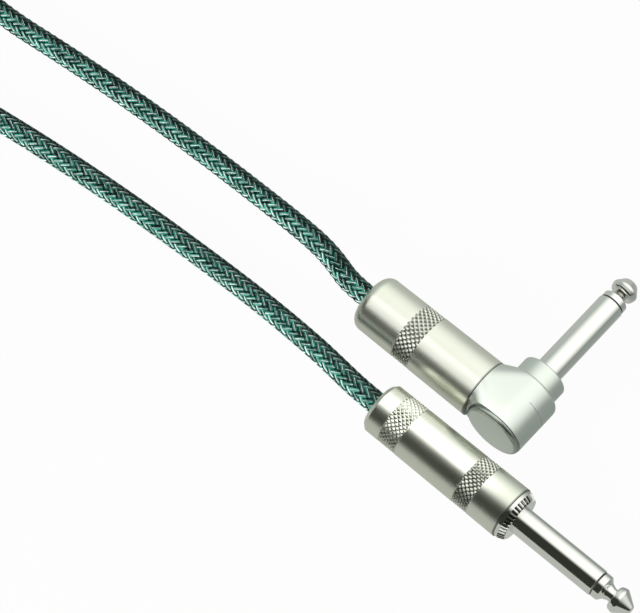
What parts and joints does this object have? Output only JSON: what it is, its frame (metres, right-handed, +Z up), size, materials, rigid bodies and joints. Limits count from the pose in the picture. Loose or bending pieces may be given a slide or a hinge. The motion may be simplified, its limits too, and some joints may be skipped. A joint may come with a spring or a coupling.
{
  "type": "instrument cable",
  "caption": "Braided instrument cable with a straight and a right-angle 6.35 mm plug, each with a screw-on knurled barrel, and a tied coil.",
  "frame": {"origin": "on the floor the cable lies on, below the middle of the box round the two plugs", "axes": "+X along the straight plug towards its tip, +Y along the shaft of the right-angle plug towards its tip, +Z up"},
  "size_m": [0.3271, 0.0866, 0.0244],
  "materials": {
    "plug_shell": "satin nickel plate",
    "contact": "polished nickel plate",
    "insulator": "moulded, glossy",
    "washer": "pressed fibre",
    "liner": "plain",
    "terminal": "tinned",
    "solder": "bright, cast",
    "core": "extruded",
    "shield": "twisted bare copper",
    "braid": "green, black and silver-white woven filament",
    "strap": "black woven tape"
  },
  "bodies": {
    "cable_and_plugs": {"straight_sleeve_contact": "contact", "straight_tip_contact": "contact", "straight_front_insulator": "insulator", "straight_rear_insulator": "washer", "straight_rod_rivet": "contact", "straight_tip_terminal": "terminal", "straight_ground_terminal": "terminal", "straight_core_wire": "core", "straight_shield_tail": "shield", "straight_solder_joints": "solder", "straight_cable_end": "braid", "angle_elbow": "plug_shell", "angle_end_cap": "plug_shell", "angle_sleeve_contact": "contact", "angle_tip_contact": "contact", "angle_front_insulator": "insulator", "angle_rear_insulator": "washer", "angle_rod_rivet": "contact", "angle_tip_terminal": "terminal", "angle_ground_terminal": "terminal", "angle_core_wire": "core", "angle_shield_tail": "shield", "angle_solder_joints": "solder", "angle_cable_end": "braid", "angle_cable_lead": "braid", "straight_cable_lead": "braid", "cable_coil": "braid", "coil_tie": "strap"},
    "straight_travel": {"straight_liner": "liner"},
    "straight_barrel_body": {"straight_barrel": "plug_shell"},
    "angle_travel": {"angle_liner": "liner"},
    "angle_barrel_body": {"angle_barrel": "plug_shell"}
  },
  "joints": [
    {"name": "straight_barrel_travel", "type": "slide", "parent": "cable_and_plugs", "child": "straight_travel", "axis": [-1, 0, 0], "range_m": [0, 0.00501]},
    {"name": "straight_barrel_turn", "type": "hinge", "parent": "straight_travel", "child": "straight_barrel_body", "pos_m": [-0.005, -0.02652, 0.00625], "axis": [-1, 0, 0], "range_deg": [0, 1800]},
    {"name": "angle_barrel_travel", "type": "slide", "parent": "cable_and_plugs", "child": "angle_travel", "axis": [-1, 0, 0], "range_m": [0, 0.00501]},
    {"name": "angle_barrel_turn", "type": "hinge", "parent": "angle_travel", "child": "angle_barrel_body", "pos_m": [-0.025, -0.00882, 0.00715], "axis": [-1, 0, 0], "range_deg": [0, 1800]}
  ],
  "couplings": [
    {"joint": "straight_barrel_travel", "follows": "straight_barrel_turn", "m_per_rad": 0.00015915},
    {"joint": "angle_barrel_travel", "follows": "angle_barrel_turn", "m_per_rad": 0.00015915}
  ]
}
